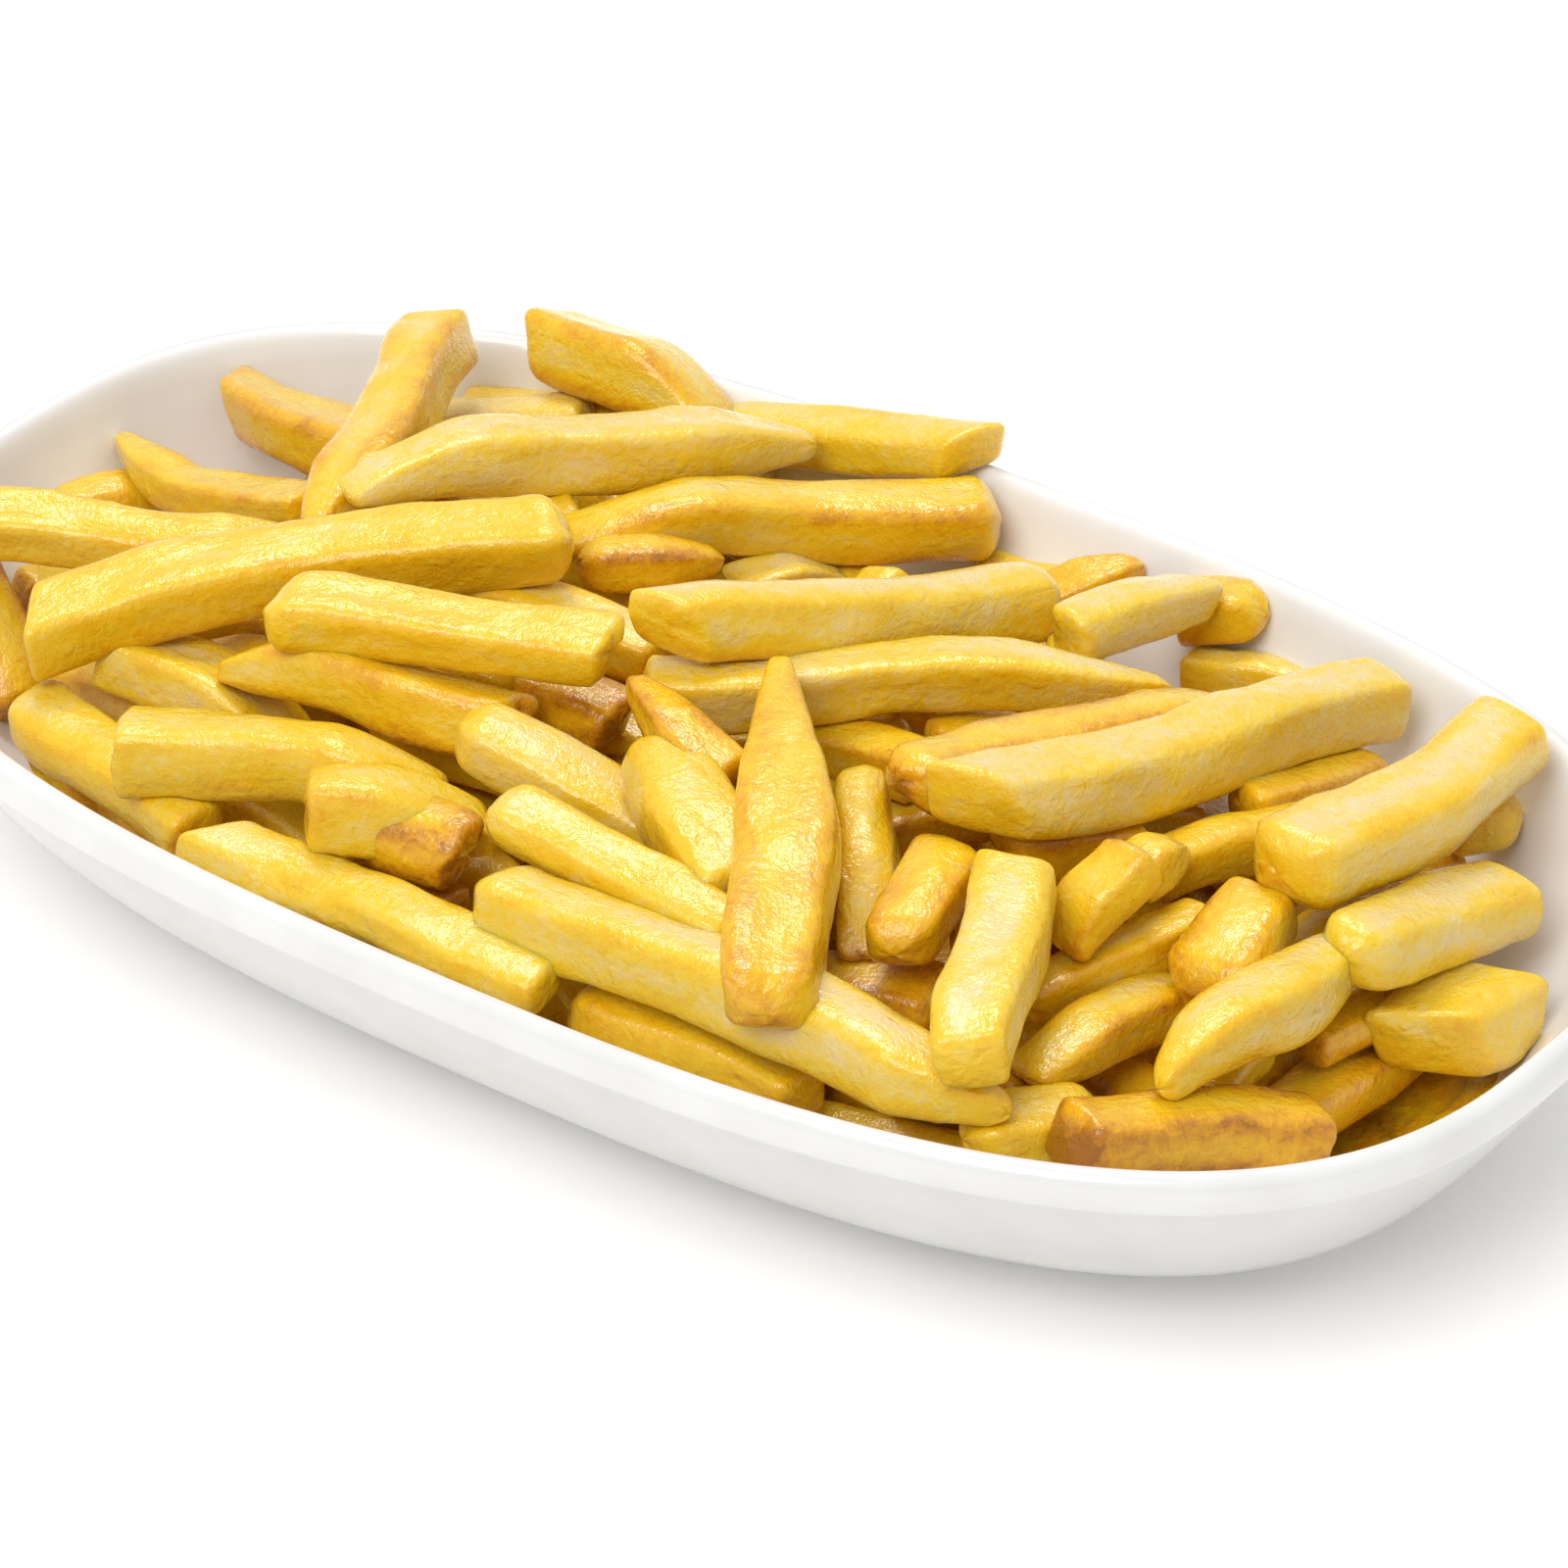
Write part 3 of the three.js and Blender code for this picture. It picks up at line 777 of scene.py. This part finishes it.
FILL_ENDS = ["cut", "cut", "round", "wedge", "slant_left", "point"]
fill_surfaces = []
for number, (tail, tip, half) in enumerate(filling):
    size = 2 * half * fill_random.uniform(0.95, 1.08)
    kinds = [str(fill_random.choice(FILL_ENDS)) for _ in range(2)]
    # painted shade: the filling fries get golden tones only, none cream, as they lie down in the heap
    fill_surfaces.append(fry_surface(tail, tip, size, size * 0.93, kinds,
                                     roll=fill_random.uniform(-20, 20),
                                     tone=fill_random.uniform(0.3, 0.58), seed=500 + number,
                                     spacing=2, around=28))
fry_pieces["filling_fries"] = make_piece("filling_fries", *joined(fill_surfaces))

# %% [markdown]
# ## The core
#
# Deep in the heap the fries can't be told apart, so the middle is one mound, lower than the CAD heap by
# about three layers of fries. It only has to look like more golden potato at the bottom of a gap, so it gets
# broad ridges and the same finish in a darker tone than the fries, painted shade for the bottom of the gaps.

# %% Build the core
CORE_RINGS = 44
CORE_AROUND = 120
core_points, core_angles = [], np.linspace(0, 2 * math.pi, CORE_AROUND, endpoint=False)
for ring in range(CORE_RINGS, 0, -1):
    x, y = plan_point(core_angles, 16)
    x, y = x * ring / CORE_RINGS, y * ring / CORE_RINGS
    flat = np.column_stack([x, y, np.zeros(CORE_AROUND)])
    ridges = 1.6 * lumps(flat * [0.35, 1, 1], 9) + 0.8 * lumps(flat, 4)
    edge = min(1, (CORE_RINGS - ring) / 4)
    height = core_height(x, y) + edge * (ridges + 1) - (1 - edge) * 1.5
    core_points.append(np.column_stack([x, y, height]))
core_points = np.vstack(core_points)
core_faces = ring_faces(CORE_RINGS, CORE_AROUND)
top_middle = len(core_points)
core_points = np.vstack([core_points, [[0, 0, core_points[-CORE_AROUND:, 2].mean()]]])
first = (CORE_RINGS - 1) * CORE_AROUND
core_faces += [(first + k, first + (k + 1) % CORE_AROUND, top_middle) for k in range(CORE_AROUND)]
# the underside: the same outline drawn in along the bowl, a little above the glaze
under_start = len(core_points)
UNDER_RINGS = 8
for ring in range(1, UNDER_RINGS + 1):
    x, y = plan_point(core_angles, 16)
    x, y = x * (1 - ring / (UNDER_RINGS + 1)), y * (1 - ring / (UNDER_RINGS + 1))
    core_points = np.vstack([core_points, np.column_stack([x, y, bowl_height(x, y) + 0.3])])
rim_ring = list(range(CORE_AROUND))
for ring in range(UNDER_RINGS):
    lower = [under_start + ring * CORE_AROUND + k for k in range(CORE_AROUND)]
    for k in range(CORE_AROUND):
        after = (k + 1) % CORE_AROUND
        core_faces.append((rim_ring[after], rim_ring[k], lower[k], lower[after]))
    rim_ring = lower
under_middle = len(core_points)
core_points = np.vstack([core_points, [[0, 0, float(bowl_height(0.0, 0.0)) + 0.3]]])
core_faces += [(rim_ring[(k + 1) % CORE_AROUND], rim_ring[k], under_middle) for k in range(CORE_AROUND)]
fry_pieces["heap_core"] = make_piece("heap_core", core_points, core_faces, {
    # painted shade: the core's tone and crust are set darker than the fries', for the bottom of the gaps
    "crust": np.full(len(core_points), 0.5),
    "tone": np.full(len(core_points), 0.6),
    "grain": core_points,
})

# %% [markdown]
# ## Fried potato
#
# Fried potato is cream where the flesh is thick, clear yellow where light passes through it, golden on
# corners and ends, and brown in a few spots. Light goes in a few millimetres and comes out yellower, which
# is subsurface scattering. Over it lies a thin film of oil on a crinkled skin: a glossy coat, whose bump is
# finer and sharper than anything that could be modelled.
#
# One builder makes every kind; each kind only shifts how far the colours run from cream to brown.

# %% Potato finish
COLOURS = [
    (0.0, (0.79, 0.61, 0.26)),
    (0.15, (0.80, 0.59, 0.13)),
    (0.32, (0.81, 0.55, 0.024)),
    (0.5, (0.80, 0.485, 0.008)),
    (0.68, (0.74, 0.38, 0.006)),
    (0.84, (0.58, 0.255, 0.007)),
    (1.0, (0.36, 0.13, 0.006)),
]


def potato_material(name, shift, coat):
    material = bpy.data.materials.new(name)
    material.use_nodes = True
    tree = material.node_tree
    shader = tree.nodes["Principled BSDF"]
    grain = add_node(tree, "ShaderNodeAttribute", {"attribute_name": "grain"}).outputs["Vector"]
    crust = add_node(tree, "ShaderNodeAttribute", {"attribute_name": "crust"}).outputs["Fac"]
    tone = add_node(tree, "ShaderNodeAttribute", {"attribute_name": "tone"}).outputs["Fac"]
    stretched = add_node(tree, "ShaderNodeMapping", Vector=grain, Scale=(0.45, 1, 1)).outputs[0]

    def noise(vector, scale, detail, distortion=0.0):
        return add_node(tree, "ShaderNodeTexNoise", Vector=vector, Scale=scale, Detail=detail,
                        Distortion=distortion).outputs[0]

    patches = noise(stretched, 0.16, 2.0, 0.4)
    mottle = noise(grain, 0.5, 3.0, 0.8)
    speckle = noise(grain, 2.4, 2.0)
    wrinkle = noise(stretched, 0.3, 2.0, 0.6)
    crinkle = noise(grain, 1.0, 2.0, 0.6)
    blisters = mapped(tree, noise(grain, 0.55, 0.0), 0.58, 0.8, 0.0, 1.0)

    # how far along the colours: the fry's own tone with its painted top light, then patches, mottling and
    # crust
    level = combined(tree, "ADD", tone, shift)
    level = combined(tree, "ADD", level, mapped(tree, patches, 0.3, 0.7, -0.13, 0.13))
    level = combined(tree, "ADD", level, mapped(tree, mottle, 0.35, 0.65, 0.06, -0.12))
    level = combined(tree, "ADD", level, mapped(tree, speckle, 0.3, 0.7, -0.05, 0.05))
    level = combined(tree, "ADD", level, mapped(tree, crust, 0.0, 1.6, -0.05, 0.6))
    ramp = add_node(tree, "ShaderNodeValToRGB", Fac=level)
    elements = ramp.color_ramp.elements
    while len(elements) < len(COLOURS):
        elements.new(0.5)
    for element, (place, colour) in zip(elements, COLOURS):
        element.position = place
        element.color = (*colour, 1)
    tree.links.new(ramp.outputs["Color"], shader.inputs["Base Color"])

    tree.links.new(mapped(tree, mottle, 0.35, 0.65, 0.42, 0.22), shader.inputs["Roughness"])
    # heights in millimetres: broad wrinkles, crinkles, blisters and the finest grain
    relief = combined(tree, "MULTIPLY", wrinkle, 0.3)
    relief = combined(tree, "ADD", relief, combined(tree, "MULTIPLY", crinkle, 0.17))
    relief = combined(tree, "ADD", relief, combined(tree, "MULTIPLY", blisters, 0.12))
    relief = combined(tree, "ADD", relief, combined(tree, "MULTIPLY", speckle, 0.12))
    skin = add_node(tree, "ShaderNodeBump", Strength=1.0, Distance=0.001, Height=relief).outputs[0]
    tree.links.new(skin, shader.inputs["Normal"])
    # the oil half fills the finest grain, so its own surface is smoother than the skin
    oil = combined(tree, "ADD", combined(tree, "MULTIPLY", wrinkle, 0.32),
                   combined(tree, "MULTIPLY", crinkle, 0.17))
    oil = combined(tree, "ADD", oil, combined(tree, "MULTIPLY", speckle, 0.07))
    film = add_node(tree, "ShaderNodeBump", Strength=1.0, Distance=0.001, Height=oil).outputs[0]
    tree.links.new(film, shader.inputs["Coat Normal"])
    shader.inputs["Coat Weight"].default_value = coat
    shader.inputs["Coat Roughness"].default_value = 0.2
    shader.inputs["Coat IOR"].default_value = 1.55
    shader.inputs["IOR"].default_value = 1.45
    shader.inputs["Specular IOR Level"].default_value = 0.2
    shader.inputs["Specular Tint"].default_value = (1, 0.82, 0.3, 1)
    shader.inputs["Subsurface Weight"].default_value = 0.4
    shader.inputs["Subsurface Radius"].default_value = (1.0, 0.55, 0.1)
    shader.inputs["Subsurface Scale"].default_value = 0.003
    return material


# %% Give every kind its finish
FINISHES = {
    "pale_fries": (0.08, 1.0),
    "golden_fries": (0.06, 1.0),
    "browned_fries": (0.0, 1.0),
    "filling_fries": (0.08, 1.0),
    "heap_core": (0.0, 0.3),
}
for kind, piece in fry_pieces.items():
    shift, coat = FINISHES[kind]
    settle(piece, potato_material(kind + "_skin", shift, coat))
    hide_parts("fries_heap")
